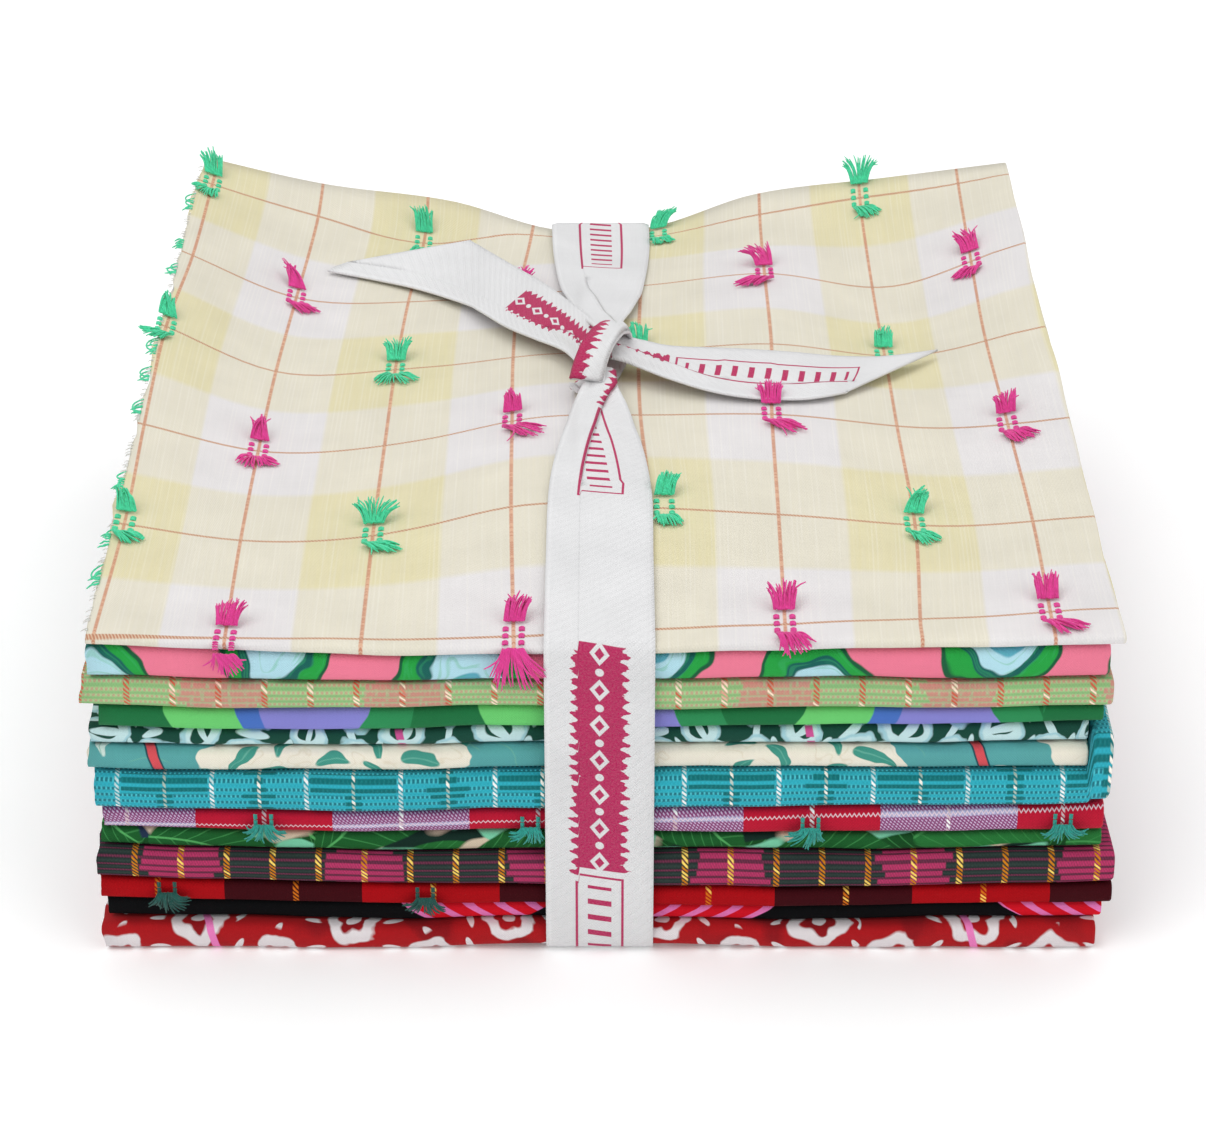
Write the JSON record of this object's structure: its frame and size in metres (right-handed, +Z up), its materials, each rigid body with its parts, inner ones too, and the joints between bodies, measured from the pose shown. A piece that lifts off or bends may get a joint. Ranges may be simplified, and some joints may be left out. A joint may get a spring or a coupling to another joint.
{
  "type": "fabric bundle",
  "caption": "Stack of folded patterned cottons with rounded front folds, tied front to back by a narrow white tape knotted on top, with clipped thread tufts on the top cloth.",
  "frame": {"origin": "centre of the bundle's footprint, on the surface it rests on", "axes": "+X to the right, -Y to the front where the rounded folds are, +Z up"},
  "size_m": [0.242, 0.2748, 0.0968],
  "materials": {
    "cloth_13_red_scroll": "matte woven cotton",
    "cloth_12_black_bias": "matte woven cotton",
    "cloth_11_red_block": "matte woven cotton",
    "cloth_10_charcoal_brick": "matte woven cotton",
    "cloth_09_green_leaf": "matte woven cotton",
    "cloth_08_crimson_check": "matte woven cotton",
    "cloth_07_turquoise_brick": "matte woven cotton",
    "cloth_06_teal_bloom": "matte woven cotton",
    "cloth_05_forest_brush": "matte woven cotton",
    "cloth_04_colour_block": "matte woven cotton",
    "cloth_03_sage_brick": "matte woven cotton",
    "cloth_02_pink_ribbon": "matte woven cotton",
    "cloth_01_cream_check": "matte woven cotton",
    "tape": "matte twill tape",
    "tuft_green": "loose thread",
    "tuft_pink": "loose thread",
    "tuft_teal": "loose thread",
    "tuft_dark_green": "loose thread"
  },
  "bodies": {
    "root": {"cloth_13_red_scroll": "cloth_13_red_scroll", "cloth_12_black_bias": "cloth_12_black_bias", "cloth_11_red_block": "cloth_11_red_block", "cloth_10_charcoal_brick": "cloth_10_charcoal_brick", "cloth_09_green_leaf": "cloth_09_green_leaf", "cloth_08_crimson_check": "cloth_08_crimson_check", "cloth_07_turquoise_brick": "cloth_07_turquoise_brick", "cloth_06_teal_bloom": "cloth_06_teal_bloom", "cloth_05_forest_brush": "cloth_05_forest_brush", "cloth_04_colour_block": "cloth_04_colour_block", "cloth_03_sage_brick": "cloth_03_sage_brick", "cloth_02_pink_ribbon": "cloth_02_pink_ribbon", "cloth_01_cream_check": "cloth_01_cream_check", "tape_band": "tape", "tape_knot": "tape", "tape_tail_left": "tape", "tape_tail_right": "tape", "tuft_top_01": "tuft_green", "tuft_top_02": "tuft_green", "tuft_top_03": "tuft_green", "tuft_top_04": "tuft_pink", "tuft_top_05": "tuft_pink", "tuft_top_06": "tuft_pink", "tuft_top_07": "tuft_green", "tuft_top_08": "tuft_green", "tuft_top_09": "tuft_green", "tuft_top_10": "tuft_pink", "tuft_top_11": "tuft_pink", "tuft_top_12": "tuft_pink", "tuft_top_13": "tuft_green", "tuft_top_14": "tuft_green", "tuft_top_15": "tuft_green", "tuft_top_16": "tuft_pink", "tuft_top_17": "tuft_pink", "tuft_top_18": "tuft_pink", "tuft_top_19": "tuft_green", "tuft_top_20": "tuft_green", "tuft_top_21": "tuft_green", "tuft_top_22": "tuft_pink", "tuft_top_23": "tuft_pink", "tuft_top_24": "tuft_pink", "tuft_front_1": "tuft_teal", "tuft_front_2": "tuft_teal", "tuft_front_3": "tuft_teal", "tuft_front_4": "tuft_teal", "tuft_front_5": "tuft_dark_green", "tuft_front_6": "tuft_dark_green"}
  },
  "joints": []
}
